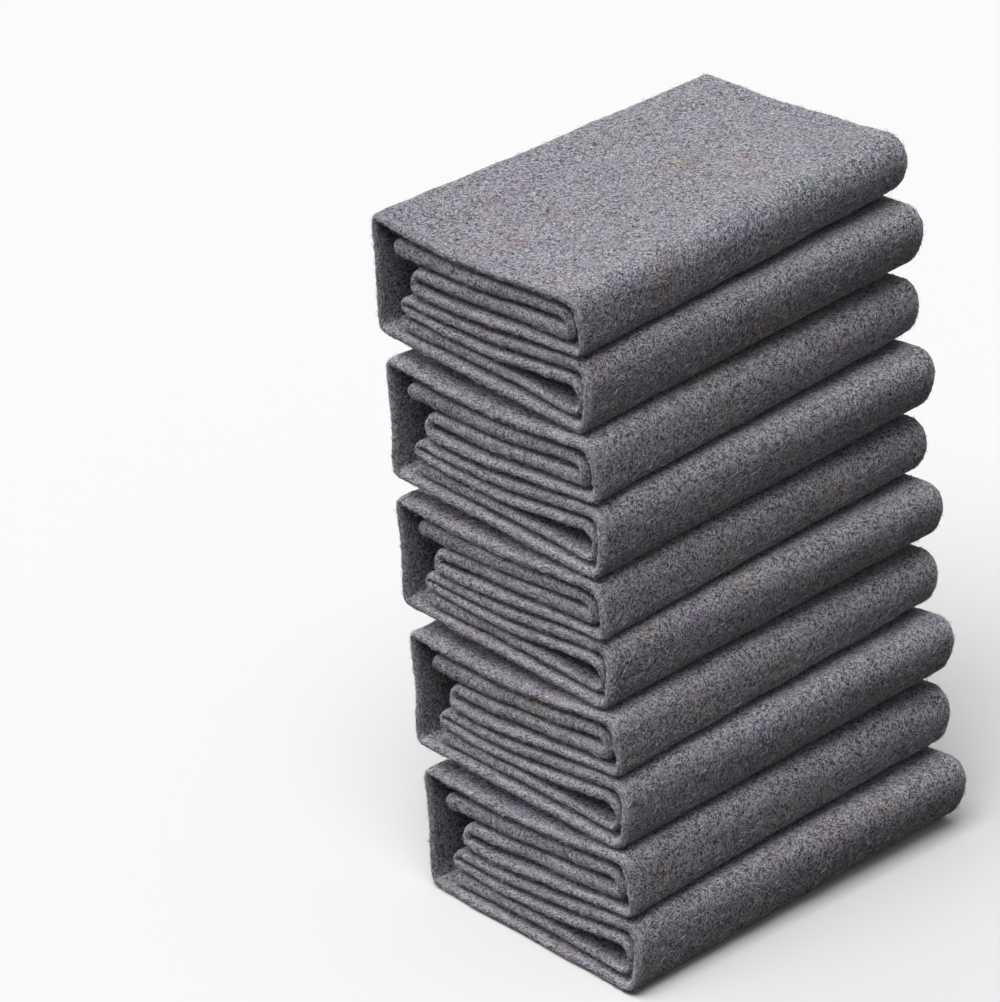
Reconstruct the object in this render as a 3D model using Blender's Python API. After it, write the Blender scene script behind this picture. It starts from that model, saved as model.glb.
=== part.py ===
"""A stack of five moving blankets of recycled-fibre felt.

Each blanket is one cut sheet. It is folded in quarters across its width, and the strip
that this makes is folded back and forth into eight layers, like a closed book: a flat
spine at -X and two rolls at +X. The section lies in the X-Z plane, and the folded width
runs along Y. Every blanket is one solid, and the lowest one lies flat on the surface.
"""

import math
from collections import namedtuple

import bpy
from mathutils import Matrix, Vector

MM = 0.001

# The cut sheet and how it is folded, in millimetres
CUT_WIDTH = 1372
QUARTERS = 4
FOLDED_WIDTH = CUT_WIDTH / QUARTERS
BOOK_DEPTH = 229

# The strip's layers in the order of the cloth, from the free end inside the upper roll to
# the free end inside the lower roll. Heights are those of a layer's middle at the near
# end, at each of the four places in HEIGHTS_AT. Thickness is given at the first and the
# last of these. Insets say how far a layer's edge stands back from the two ends of the
# folded width.
HEIGHTS_AT = (-190, -152, -89, -26)
Layer = namedtuple("Layer", "name back left middle right thick_back thick_right near_inset far_inset")
LAYERS = (
    Layer("upper_inner_top", 76.0, 77.4, 83.6, 91.0, 13.6, 9.0, 2.5, 3.0),
    Layer("upper_inner_low", 61.0, 63.0, 69.3, 75.0, 9.6, 12.0, 3.5, 2.0),
    Layer("upper_outer_low", 49.5, 48.0, 55.0, 61.8, 8.8, 6.4, 2.0, 4.0),
    Layer("cover_top", 93.4, 93.2, 97.8, 105.4, 7.8, 8.0, 0.0, 0.0),
    Layer("cover_base", 3.8, 3.8, 3.8, 3.8, 7.6, 7.6, 0.0, 1.0),
    Layer("lower_outer_top", 36.0, 36.4, 42.0, 50.8, 6.4, 9.6, 2.5, 3.0),
    Layer("lower_inner_top", 28.4, 26.4, 29.6, 38.2, 6.2, 8.6, 1.5, 5.0),
    Layer("lower_inner_low", 14.6, 15.4, 16.8, 14.3, 11.2, 6.0, 3.0, 2.0),
)
BASE = LAYERS[4].middle

# The folds that join each layer to the next. Reach is the X of the strip's middle at the
# fold. Depth is how far along X the strip turns, square is the exponent of its curve (2 is
# round), and lean is how much further the lower half reaches than the upper. These four
# are given at the near and the far end. Bow draws the middle of its height in, and pinch
# is the strip's thickness in the fold as a share of the layers' thickness.
FOLD_COLUMNS = "name side reach far_reach depth far_depth square far_square lean far_lean bow pinch steps"
Fold = namedtuple("Fold", FOLD_COLUMNS)
FOLDS = (
    Fold("upper_hook", 1, -19.5, -22.0, 8.0, 8.0, 2.2, 2.2, 3.0, -4.0, 0.0, 0.85, 5),
    Fold("upper_back", -1, -177.0, -179.0, 8.0, 8.0, 2.6, 2.6, 2.0, 2.0, 0.0, 0.8, 5),
    Fold("upper_roll", 1, -8.5, -9.5, 12.0, 19.0, 3.2, 2.1, 6.0, -9.0, 0.0, 0.95, 6),
    Fold("spine", -1, -219.5, -221.0, 10.0, 9.0, 4.4, 5.5, -7.5, -4.0, 4.0, 0.85, 8),
    Fold("lower_roll", 1, 1.5, 10.5, 13.0, 17.0, 2.8, 2.2, 0.5, -16.0, 0.0, 0.95, 6),
    Fold("lower_back", -1, -188.0, -190.0, 5.0, 5.0, 2.0, 2.0, 1.0, 1.0, 0.0, 0.8, 3),
    Fold("lower_hook", 1, -6.5, -5.0, 12.0, 12.0, 2.2, 2.2, 1.0, -12.5, 0.0, 0.6, 5),
)
FREE_ENDS = (-197.0, -188.0)
STEPS_IN_LAYER = 4
END_ROUNDING = ((0.0, 0.68), (0.3, 0.94), (1.0, 1.0))
LEAST_STEP = 0.25
CROSSED_BELOW = 0.99

# How the folded blanket departs from a straight bar along Y. It is a little higher in the
# middle of its width than at the near end, and pressed lower towards the far end of the
# spine. The ruffle is a slight wave in its layers, and their edges are thinned to a round.
CROWN = 0.012
CROWN_MIDDLE, CROWN_SPREAD = -60.0, 95.0
FAR_SPINE_DROP, FAR_SPINE_BEND, FAR_ROLL_DROP = 0.18, 1.7, 0.025
RUFFLE_LENGTH, RUFFLE_TURN = 31.0, 4.1
RUFFLE_FROM = 20.0
RUFFLE_DRIFT = 2.0
EDGE_ROUND = 4.0
EDGE_THIN = 0.5
STATIONS = (0.22, 0.5, 0.78)

# The blankets from the lowest up. Loft scales a blanket's height. Shifts are those of its
# near right corner, and swing turns it about the vertical. Ruffle is the size of its own
# unevenness, and phase sets where that falls.
Blanket = namedtuple("Blanket", "name loft shift_x shift_y swing ruffle phase")
BLANKETS = (
    Blanket("blanket_1", 1.040, 0.0, 0.0, 0.0, 0.9, 0.3),
    Blanket("blanket_2", 0.975, -17.3, 3.5, 0.2, 0.9, 1.9),
    Blanket("blanket_3", 0.920, -37.0, 7.5, -0.15, 0.9, 3.1),
    Blanket("blanket_4", 1.000, -49.5, 11.0, 0.15, 0.9, 4.6),
    Blanket("blanket_5", 0.995, -69.0, 15.0, 0.0, 0.9, 5.4),
)
GAP = 0.4

FELT = (0.27, 0.265, 0.3, 1.0)
FELT_ROUGHNESS = 0.95
SHARP_EDGE = 50


def blend(a, b, share):
    return a + (b - a) * share


def height_in(layer, x):
    """The height of a layer's middle at x, on a smooth line through its four heights."""
    heights = (layer.back, layer.left, layer.middle, layer.right)
    span = min(max(sum(x > place for place in HEIGHTS_AT) - 1, 0), len(HEIGHTS_AT) - 2)
    start, end = HEIGHTS_AT[span], HEIGHTS_AT[span + 1]
    slopes = []
    for knot in (span, span + 1):
        before, after = max(knot - 1, 0), min(knot + 1, len(HEIGHTS_AT) - 1)
        slopes.append((heights[after] - heights[before]) / (HEIGHTS_AT[after] - HEIGHTS_AT[before]))
    if x <= start:
        return heights[span] + slopes[0] * (x - start)
    if x >= end:
        return heights[span + 1] + slopes[1] * (x - end)
    share, width = (x - start) / (end - start), end - start
    eased = share * share * (3 - 2 * share)
    swing = slopes[0] * share * (1 - share) ** 2 - slopes[1] * share**2 * (1 - share)
    return blend(heights[span], heights[span + 1], eased) + swing * width


def thickness_in(layer, x):
    share = (x - HEIGHTS_AT[0]) / (HEIGHTS_AT[-1] - HEIGHTS_AT[0])
    return blend(layer.thick_back, layer.thick_right, min(max(share, 0), 1))


def fold_x(fold, along, rise):
    """The strip's X at a fold, where rise runs from -1 at its bottom to 1 at its top."""
    reach = blend(fold.reach, fold.far_reach, along)
    lean = blend(fold.lean, fold.far_lean, along)
    return reach + fold.side * (lean * (1 - rise) / 2 - fold.bow * (1 - rise * rise))


def fold_depth(fold, along):
    return blend(fold.depth, fold.far_depth, along)


def layer_ends(index, along):
    """The X at which layer number index starts and ends, in the order of the cloth."""
    ends = []
    for fold_index, other in ((index - 1, index - 1), (index, index + 1)):
        if 0 <= fold_index < len(FOLDS):
            fold = FOLDS[fold_index]
            rise = 1 if LAYERS[index].middle > LAYERS[other].middle else -1
            ends.append(fold_x(fold, along, rise) - fold.side * fold_depth(fold, along))
        else:
            ends.append(FREE_ENDS[0 if index == 0 else 1])
    return ends


def layer_points(index, along):
    """Points (x, height, thickness, near inset, far inset) along one layer."""
    layer = LAYERS[index]
    start, end = layer_ends(index, along)
    points = []
    for step in range(STEPS_IN_LAYER + 1):
        x = blend(start, end, step / STEPS_IN_LAYER)
        points.append((x, height_in(layer, x), thickness_in(layer, x), layer.near_inset, layer.far_inset))
    return points


def fold_points(fold, before, after, along):
    """Points between the end of one layer and the start of the next, along a squared half turn."""
    points = []
    rising = 1 if after[1] > before[1] else -1
    power = 2 / blend(fold.square, fold.far_square, along)
    for step in range(1, fold.steps + 1):
        turn = math.pi * (step / (fold.steps + 1) - 0.5)
        out = math.cos(turn) ** power
        rise = math.copysign(abs(math.sin(turn)) ** power, turn)
        share = (rise + 1) / 2
        x = fold_x(fold, along, rise * rising) - fold.side * fold_depth(fold, along) * (1 - out)
        height, thick, near_inset, far_inset = (blend(a, b, share) for a, b in zip(before[1:], after[1:]))
        thick *= blend(1, fold.pinch, math.cos(turn) ** 2)
        points.append((x, height, thick, near_inset, far_inset))
    return points


def with_round_end(points):
    """The free end drawn out to a half round."""
    end, inner = points[0], points[1]
    length = math.hypot(inner[0] - end[0], inner[1] - end[1])
    rounded = []
    for along, thin in END_ROUNDING:
        share = along * end[2] / 2 / length
        x, z = blend(end[0], inner[0], share), blend(end[1], inner[1], share)
        rounded.append((x, z, end[2] * thin) + end[3:])
    return rounded + points[1:]


def strip_at(along):
    """The strip's middle line at one place along the folded width, 0 near and 1 far."""
    points = layer_points(0, along)
    for index, fold in enumerate(FOLDS):
        following = layer_points(index + 1, along)
        points += fold_points(fold, points[-1], following[0], along) + following
    points = with_round_end(points)
    return with_round_end(points[::-1])[::-1]


def pressed(x, along):
    """How flat the layers lie at x, as a share of their height at the near end."""
    towards_spine = min(max(-x / BOOK_DEPTH, 0), 1)
    drop = FAR_ROLL_DROP * (1 - towards_spine) + FAR_SPINE_DROP * towards_spine**FAR_SPINE_BEND
    return 1 - drop * along


def settled(x, z, along, blanket):
    """A height with the blanket's loft, crown and far end. The base layer stays level."""
    crown = CROWN * math.sin(math.pi * along) * math.exp(-(((x - CROWN_MIDDLE) / CROWN_SPREAD) ** 2))
    ruffle = blanket.ruffle * (1 - math.exp(-max(z - BASE, 0) / RUFFLE_FROM))
    across = math.sin(x / RUFFLE_LENGTH + blanket.phase + RUFFLE_DRIFT * along)
    wave = across * math.sin(RUFFLE_TURN * along + blanket.phase)
    raised = (z - BASE) * blanket.loft * (pressed(x, along) + crown)
    return BASE * pressed(x, along) + raised + ruffle * wave


def untangled(side, middle):
    """One side of the strip, with its points drawn together where a tight fold would cross them."""
    side = list(side)
    for _ in range(len(side)):
        crossed = False
        for index in range(len(side) - 1):
            heading = (middle[index + 1] - middle[index]).normalized()
            if (side[index + 1] - side[index]).dot(heading) < LEAST_STEP * CROSSED_BELOW:
                centre = (side[index] + side[index + 1]) / 2
                side[index] = centre - heading * LEAST_STEP / 2
                side[index + 1] = centre + heading * LEAST_STEP / 2
                crossed = True
        if not crossed:
            break
    return side


def section_at(along, thin, blanket):
    """The strip at one station: its left side, its right side and its points' Y."""
    strip = strip_at(along)
    middle = [Vector((x, settled(x, z, along, blanket))) for x, z, *_ in strip]
    left, right, depths = [], [], []
    for index, (x, _, thick, near_inset, far_inset) in enumerate(strip):
        before, after = middle[max(index - 1, 0)], middle[min(index + 1, len(middle) - 1)]
        heading = (after - before).normalized()
        normal = Vector((-heading.y, heading.x)) * thick * thin * pressed(x, along) / 2
        left.append(middle[index] + normal)
        right.append(middle[index] - normal)
        depths.append(blend(near_inset, FOLDED_WIDTH - far_inset, along))
    return untangled(left, middle), untangled(right, middle), depths


def stations():
    """Places along the folded width, as a share of it, each with the layers' thinning there."""
    edge = EDGE_ROUND / FOLDED_WIDTH
    inner = [(share, 1.0) for share in (edge, *STATIONS, 1 - edge)]
    return [(0.0, EDGE_THIN), *inner, (1.0, EDGE_THIN)]


def folded_mesh(blanket):
    """One blanket's closed mesh, lofted through its sections."""
    rings = []
    for along, thin in stations():
        left, right, depths = section_at(along, thin, blanket)
        ring = [(point.x, y, point.y) for point, y in zip(left, depths)]
        ring += [(point.x, y, point.y) for point, y in zip(right[::-1], depths[::-1])]
        rings.append([tuple(value * MM for value in point) for point in ring])
    count = len(rings[0])
    points = [point for ring in rings for point in ring]
    faces = []
    for ring in range(len(rings) - 1):
        for index in range(count):
            following = (index + 1) % count
            low, high = ring * count, (ring + 1) * count
            faces.append((low + index, low + following, high + following, high + index))
    last = (len(rings) - 1) * count
    for index in range(count // 2 - 1):
        across = count - 1 - index
        faces.append((index, across, across - 1, index + 1))
        faces.append((last + index, last + index + 1, last + across - 1, last + across))
    mesh = bpy.data.meshes.new(blanket.name)
    mesh.from_pydata(points, [], faces)
    return mesh


def felt(name):
    material = bpy.data.materials.new(name)
    material.use_nodes = True
    shader = material.node_tree.nodes["Principled BSDF"]
    shader.inputs["Base Color"].default_value = FELT
    shader.inputs["Roughness"].default_value = FELT_ROUGHNESS
    return material


def add_blanket(blanket, floor):
    """Adds one blanket whose base lies at the height floor, and returns its top."""
    mesh = folded_mesh(blanket)
    place = Matrix.Translation(Vector((blanket.shift_x * MM, blanket.shift_y * MM, floor)))
    mesh.transform(place @ Matrix.Rotation(math.radians(blanket.swing), 4, "Z"))
    mesh.shade_smooth()
    mesh.set_sharp_from_angle(angle=math.radians(SHARP_EDGE))
    blanket_object = bpy.data.objects.new(blanket.name, mesh)
    bpy.context.collection.objects.link(blanket_object)
    mesh.materials.append(felt("felt_" + blanket.name))
    return max(vertex.co.z for vertex in mesh.vertices)


def centre_on_origin(objects):
    """Moves the stack so that the origin is in the middle of its footprint."""
    corners = [vertex.co for each in objects for vertex in each.data.vertices]
    middle = [(min(c[axis] for c in corners) + max(c[axis] for c in corners)) / 2 for axis in (0, 1)]
    for each in objects:
        each.data.transform(Matrix.Translation((-middle[0], -middle[1], 0)))


def main():
    for each in list(bpy.data.objects):
        bpy.data.objects.remove(each)
    floor = 0.0
    for blanket in BLANKETS:
        floor = add_blanket(blanket, floor) + GAP * MM
    centre_on_origin(list(bpy.data.objects))


main()
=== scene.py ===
import math
from collections import namedtuple

import bpy
import numpy as np
from mathutils import Matrix, Vector


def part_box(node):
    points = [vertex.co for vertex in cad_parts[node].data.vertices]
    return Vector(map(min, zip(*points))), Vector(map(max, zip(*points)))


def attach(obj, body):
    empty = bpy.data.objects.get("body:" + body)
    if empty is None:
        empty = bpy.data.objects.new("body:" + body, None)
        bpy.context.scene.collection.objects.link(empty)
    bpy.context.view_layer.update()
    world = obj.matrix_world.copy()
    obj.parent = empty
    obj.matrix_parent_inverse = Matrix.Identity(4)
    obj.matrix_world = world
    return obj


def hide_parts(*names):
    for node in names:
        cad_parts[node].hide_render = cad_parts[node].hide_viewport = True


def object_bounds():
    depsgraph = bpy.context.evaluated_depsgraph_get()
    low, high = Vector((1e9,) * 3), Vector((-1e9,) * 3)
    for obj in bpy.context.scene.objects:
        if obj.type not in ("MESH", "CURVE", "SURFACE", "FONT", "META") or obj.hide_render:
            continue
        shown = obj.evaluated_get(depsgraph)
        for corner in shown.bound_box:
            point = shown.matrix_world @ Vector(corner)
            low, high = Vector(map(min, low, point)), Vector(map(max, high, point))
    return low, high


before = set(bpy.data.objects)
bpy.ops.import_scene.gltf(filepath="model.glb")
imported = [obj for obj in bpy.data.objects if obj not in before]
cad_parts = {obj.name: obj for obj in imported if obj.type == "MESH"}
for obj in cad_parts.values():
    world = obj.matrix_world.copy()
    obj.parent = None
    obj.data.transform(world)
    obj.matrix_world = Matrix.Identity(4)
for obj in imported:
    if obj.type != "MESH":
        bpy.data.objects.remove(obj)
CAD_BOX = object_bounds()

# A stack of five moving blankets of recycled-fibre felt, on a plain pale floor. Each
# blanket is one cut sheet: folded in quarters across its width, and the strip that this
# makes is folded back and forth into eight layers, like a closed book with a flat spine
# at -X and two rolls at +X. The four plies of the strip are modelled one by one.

MM = 0.001
LEAST_LENGTH = 1e-9

# The cut sheet and how it is folded, in millimetres
CUT_WIDTH, CUT_LENGTH = 1372.0, 1829.0
QUARTERS = 4
FOLDED_WIDTH = CUT_WIDTH / QUARTERS
BOOK_DEPTH = 229.0

# The strip's layers in the order of the cloth, as the solids have them: heights of a
# layer's middle at the four places in HEIGHTS_AT, its thickness at the first and the last
# of these, how far its edges stand back from the folded width's two ends, how many steps
# it is made in, and how strongly its outer face is rumpled.
HEIGHTS_AT = (-190.0, -152.0, -89.0, -26.0)
Layer = namedtuple(
    "Layer", "name back left middle right thick_back thick_right near_inset far_inset steps relief"
)
LAYERS = (
    Layer("upper_inner_top", 76.0, 77.4, 83.6, 91.0, 13.6, 9.0, 2.5, 3.0, 14, 0.3),
    Layer("upper_inner_low", 61.0, 63.0, 69.3, 75.0, 9.6, 12.0, 3.5, 2.0, 12, 0.3),
    Layer("upper_outer_low", 49.5, 48.0, 55.0, 61.8, 8.8, 6.4, 2.0, 4.0, 12, 0.3),
    Layer("cover_top", 93.4, 93.2, 97.8, 105.4, 7.8, 8.0, 0.0, 0.0, 60, 1.0),
    Layer("cover_base", 3.8, 3.8, 3.8, 3.8, 7.6, 7.6, 0.0, 1.0, 10, 0.0),
    Layer("lower_outer_top", 36.0, 36.4, 42.0, 50.8, 6.4, 9.6, 2.5, 3.0, 12, 0.3),
    Layer("lower_inner_top", 28.4, 26.4, 29.6, 38.2, 6.2, 8.6, 1.5, 5.0, 12, 0.3),
    Layer("lower_inner_low", 14.6, 15.4, 16.8, 14.3, 11.2, 6.0, 3.0, 2.0, 12, 0.3),
)
BASE = LAYERS[4].middle

# The folds between the layers, as the solids have them: the side a fold is on, how far it
# reaches and how deep, square and leaning it is, each near and far, how far its middle
# bows in, how thin it is pinched, the steps it is made in, and its outer face's relief
Fold = namedtuple(
    "Fold",
    "name side reach far_reach depth far_depth square far_square lean far_lean bow pinch steps relief",
)
FOLDS = (
    Fold("upper_hook", 1, -19.5, -22.0, 8.0, 8.0, 2.2, 2.2, 3.0, -4.0, 0.0, 0.85, 11, 0.3),
    Fold("upper_back", -1, -177.0, -179.0, 8.0, 8.0, 2.6, 2.6, 2.0, 2.0, 0.0, 0.8, 11, 0.3),
    Fold("upper_roll", 1, -8.5, -9.5, 12.0, 19.0, 3.2, 2.1, 6.0, -9.0, 0.0, 0.95, 23, 1.0),
    Fold("spine", -1, -219.5, -221.0, 10.0, 9.0, 4.4, 5.5, -7.5, -4.0, 4.0, 0.85, 33, 1.0),
    Fold("lower_roll", 1, 1.5, 10.5, 13.0, 17.0, 2.8, 2.2, 0.5, -16.0, 0.0, 0.95, 25, 1.0),
    Fold("lower_back", -1, -188.0, -190.0, 5.0, 5.0, 2.0, 2.0, 1.0, 1.0, 0.0, 0.8, 7, 0.3),
    Fold("lower_hook", 1, -6.5, -5.0, 12.0, 12.0, 2.2, 2.2, 1.0, -12.5, 0.0, 0.6, 11, 0.3),
)

# Where the strip's first and last layer end, and how thick these ends are, as shares, at
# places along their rounding
FREE_ENDS = (-197.0, -188.0)
END_ROUNDING = ((0.0, 0.66), (0.1, 0.84), (0.3, 0.95), (1.0, 1.0))

# In a tight fold, rows of points nearer than the least step on a face are drawn apart
LEAST_STEP = 0.06
CROSSED_BELOW = 0.99
UNTANGLING_ROUNDS = 60

# How the folded blanket departs from a straight bar along Y, as the solids have it
CROWN = 0.012
CROWN_MIDDLE, CROWN_SPREAD = -60.0, 95.0
FAR_SPINE_DROP, FAR_SPINE_BEND, FAR_ROLL_DROP = 0.18, 1.7, 0.025
RUFFLE_LENGTH, RUFFLE_TURN = 31.0, 4.1
RUFFLE_FROM = 20.0
RUFFLE_DRIFT = 2.0

# The blankets from the lowest up, as the solids have them, with a seed for their felt
Blanket = namedtuple("Blanket", "name loft swing ruffle phase seed")
BLANKETS = (
    Blanket("blanket_1", 1.040, 0.0, 0.9, 0.3, 11),
    Blanket("blanket_2", 0.975, 0.2, 0.9, 1.9, 23),
    Blanket("blanket_3", 0.920, -0.15, 0.9, 3.1, 37),
    Blanket("blanket_4", 1.000, 0.15, 0.9, 4.6, 41),
    Blanket("blanket_5", 0.995, 0.0, 0.9, 5.4, 59),
)

# The strip's section across its width, from the outside (0) to the inside (1) of its
# thickness. The plies lie with their outer fold round the inner one at the near end, and
# with one fold and two cut edges at the far end. The slits between them are a share of the
# thickness too.
PLIES = QUARTERS
SLIT = 0.035
HALF_PLY = (1 / PLIES - SLIT) / 2
PLY_PLACES = tuple((number + 0.5) / PLIES for number in range(PLIES))

# The plies' ends, in millimetres: how deep the near folds are, a ply's thickness, how far
# the inner near fold stands back from the outer one, the slits inside the folds, the cut
# edges of the first and the last ply at the far end, and how much farther back the hidden
# faces start
NOSE, PLY_MM = 4.3, 2.1
INNER_FOLD_BACK = 0.3
SLIT_BACK, SLIT_ROUND = 0.2, 0.3
FIRST_EDGE_BACK, LAST_EDGE_BACK, CUT_ROUND = 0.3, 0.7, 0.9
INNER_FACES_BACK, OUTER_FACES_BACK, SLIT_FACES_BACK = 0.5, 0.2, 0.6

# How many steps the turns and the faces of the section are made in
NOSE_STEPS, FAR_STEPS = 11, 6
HIDDEN_STEPS, CUT_STEPS, SLIT_STEPS = 5, 3, 1
FINE_COLUMNS, INNER_FACE_COLUMNS, HIDDEN_COLUMNS = 88, 14, 5

# Unevenness of the felt, in millimetres: wavelength, depth, and how many waves make it. The
# rumpled outer face lies inside the solids' one by a number of depths, the edges wander
# most at the near end, and the layers sag unevenly from some height above the base on.
Band = namedtuple("Band", "wavelength depth count")
RELIEF = (Band(46.0, 0.30, 14), Band(17.0, 0.16, 22), Band(9.0, 0.10, 26))
RELIEF_INSIDE = 1.3
EDGE_WANDER = (Band(70.0, 0.7, 8), Band(24.0, 0.35, 10), Band(9.0, 0.16, 12))
EDGE_REACH = 40.0
SAG = Band(58.0, 0.45, 10)
SAG_FROM = 9.0
WAVE_SPREAD = (0.75, 1.4)

# What is added to a blanket's seed for each use of it
SAG_SEED, EDGE_SEED, FUZZ_SEED = 5, 7, 100

# The outer face of a fold is longer than the strip's middle line. In the felt's pattern
# this surplus fades along the cloth over so many millimetres.
SURPLUS_FADES = 160.0


def blend(a, b, share):
    return a + (b - a) * share


def unit(vectors):
    return vectors / (np.linalg.norm(vectors, axis=-1, keepdims=True) + LEAST_LENGTH)


def height_in(layer, x):
    """Heights of a layer's middle at the places x, on a smooth line through its four heights."""
    heights = np.array((layer.back, layer.left, layer.middle, layer.right))
    places = np.array(HEIGHTS_AT)
    slopes = np.gradient(heights, places)
    for knot in (1, 2):
        slopes[knot] = (heights[knot + 1] - heights[knot - 1]) / (places[knot + 1] - places[knot - 1])
    span = np.clip(np.searchsorted(places, x) - 1, 0, len(places) - 2)
    width = places[span + 1] - places[span]
    share = np.clip((x - places[span]) / width, 0, 1)
    eased = share * share * (3 - 2 * share)
    swing = slopes[span] * share * (1 - share) ** 2 - slopes[span + 1] * share**2 * (1 - share)
    level = blend(heights[span], heights[span + 1], eased) + swing * width
    level += np.minimum(x - places[0], 0) * slopes[0]
    return level + np.maximum(x - places[-1], 0) * slopes[-1]


def thickness_in(layer, x):
    share = (x - HEIGHTS_AT[0]) / (HEIGHTS_AT[-1] - HEIGHTS_AT[0])
    return blend(layer.thick_back, layer.thick_right, np.clip(share, 0, 1))


def fold_x(fold, along, rise):
    """The strip's X at a fold, where rise runs from -1 at its bottom to 1 at its top."""
    reach = blend(fold.reach, fold.far_reach, along)
    lean = blend(fold.lean, fold.far_lean, along)
    return reach + fold.side * (lean * (1 - rise) / 2 - fold.bow * (1 - rise * rise))


def fold_depth(fold, along):
    return blend(fold.depth, fold.far_depth, along)


def layer_ends(index, along):
    """The X at which layer number index starts and ends, in the order of the cloth."""
    ends = []
    for fold_index, other in ((index - 1, index - 1), (index, index + 1)):
        if 0 <= fold_index < len(FOLDS):
            fold = FOLDS[fold_index]
            rise = 1 if LAYERS[index].middle > LAYERS[other].middle else -1
            ends.append(fold_x(fold, along, rise) - fold.side * fold_depth(fold, along))
        else:
            ends.append(np.full_like(along, FREE_ENDS[0 if index == 0 else 1]))
    return ends


def layer_rows(index, along):
    """Rows (x, height, thickness, near inset, far inset, relief) along one layer."""
    layer = LAYERS[index]
    start, end = layer_ends(index, along)
    same = np.ones_like(along)
    rows = []
    for step in range(layer.steps + 1):
        x = blend(start, end, step / layer.steps)
        insets = (layer.near_inset * same, layer.far_inset * same, layer.relief * same)
        rows.append(np.stack((x, height_in(layer, x), thickness_in(layer, x)) + insets))
    return rows


def fold_rows(fold, before, after, along):
    """Rows between the end of one layer and the start of the next, along a squared half turn."""
    rows = []
    rising = 1 if after[1].mean() > before[1].mean() else -1
    power = 2 / blend(fold.square, fold.far_square, along)
    for step in range(1, fold.steps + 1):
        turn = math.pi * (step / (fold.steps + 1) - 0.5)
        out = math.cos(turn) ** power
        rise = math.copysign(1, turn) * abs(math.sin(turn)) ** power
        row = blend(before, after, (rise + 1) / 2)
        row[0] = fold_x(fold, along, rise * rising) - fold.side * fold_depth(fold, along) * (1 - out)
        row[2] *= blend(1, fold.pinch, math.cos(turn) ** 2)
        row[5] = blend(row[5], fold.relief, math.cos(turn))
        rows.append(row)
    return rows


def with_round_end(rows):
    """The free end drawn out to a half round."""
    end, inner = rows[0], rows[1]
    length = np.hypot(inner[0] - end[0], inner[1] - end[1])
    rounded = []
    for along, thin in END_ROUNDING:
        row = end.copy()
        share = along * end[2] / 2 / length
        row[:2] = blend(end[:2], inner[:2], share)
        row[2] = end[2] * thin
        rounded.append(row)
    return rounded + rows[1:]


def strip_rows(along):
    """The strip's middle line at every place in the array along, 0 near and 1 far."""
    rows = layer_rows(0, along)
    for index, fold in enumerate(FOLDS):
        following = layer_rows(index + 1, along)
        rows += fold_rows(fold, rows[-1], following[0], along) + following
    rows = with_round_end(rows)
    return np.stack(with_round_end(rows[::-1])[::-1])


def pressed(x, along):
    """How flat the layers lie at x, as a share of their height at the near end."""
    towards_spine = np.clip(-x / BOOK_DEPTH, 0, 1)
    drop = FAR_ROLL_DROP * (1 - towards_spine) + FAR_SPINE_DROP * towards_spine**FAR_SPINE_BEND
    return 1 - drop * along


def settled(x, z, along, blanket):
    """Heights with the blanket's loft, crown and far end. The base layer stays level."""
    crown = CROWN * np.sin(math.pi * along) * np.exp(-(((x - CROWN_MIDDLE) / CROWN_SPREAD) ** 2))
    ruffle = blanket.ruffle * (1 - np.exp(-np.maximum(z - BASE, 0) / RUFFLE_FROM))
    across = np.sin(x / RUFFLE_LENGTH + blanket.phase + RUFFLE_DRIFT * along)
    wave = across * np.sin(RUFFLE_TURN * along + blanket.phase)
    raised = (z - BASE) * blanket.loft * (pressed(x, along) + crown)
    return BASE * pressed(x, along) + raised + ruffle * wave


def untangled(side, middle):
    """One side of the strip, with its points drawn together where a tight fold would cross them."""
    heading = unit(middle[1:] - middle[:-1])
    for _ in range(UNTANGLING_ROUNDS):
        gap = ((side[1:] - side[:-1]) * heading).sum(2)
        if gap.min() >= LEAST_STEP * CROSSED_BELOW:
            break
        for first in (0, 1):
            gap = ((side[1:] - side[:-1]) * heading).sum(2)[first::2, :, None]
            lower, upper = side[:-1][first::2], side[1:][first::2]
            centre = (lower + upper) / 2
            ahead = heading[first::2] * LEAST_STEP / 2
            crossed = gap < LEAST_STEP * CROSSED_BELOW
            side[:-1][first::2] = np.where(crossed, centre - ahead, lower)
            side[1:][first::2] = np.where(crossed, centre + ahead, upper)
    return side


def waves(u, v, band, seed):
    """An even, random unevenness of about -1 to 1 over a surface, made of plane waves."""
    rng = np.random.default_rng(seed)
    total = np.zeros(np.broadcast(u, v).shape)
    for _ in range(band.count):
        angle, phase = rng.uniform(0, 2 * math.pi, 2)
        number = 2 * math.pi / (band.wavelength * rng.uniform(*WAVE_SPREAD))
        total += np.sin(number * (math.cos(angle) * u + math.sin(angle) * v) + phase)
    return total / math.sqrt(2 * band.count)


def unevenness(u, v, bands, seed, inside=0.0):
    """The bands' waves together, in millimetres, moved inside by a share of their depth."""
    numbered = enumerate(bands)
    return sum(band.depth * (waves(u, v, band, seed + number) - inside) for number, band in numbered)


def half_turn(near, tip, depth, centre, radius, start, cloth, count):
    """Points (share, across, cloth) of one ply face round a fold or a cut edge."""
    points = []
    for step in range(1, count + 1):
        turn = math.pi * step / (count + 1)
        inward = tip + depth * (1 - math.sin(turn))
        share = inward / FOLDED_WIDTH if near else 1 - inward / FOLDED_WIDTH
        across = centre + start * radius * math.cos(turn)
        points.append((share, across, cloth - (inward + depth) * math.cos(turn)))
    return points


def ply_face(across, cloth_near, cloth_far, near, far, columns, towards_near):
    """Points (share, across, cloth) along one face of a ply, between near and far insets."""
    points = []
    for column in range(columns + 1):
        share = blend(near / FOLDED_WIDTH, 1 - far / FOLDED_WIDTH, column / columns)
        points.append((share, across, blend(cloth_near, cloth_far, share)))
    return points[::-1] if towards_near else points


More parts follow.
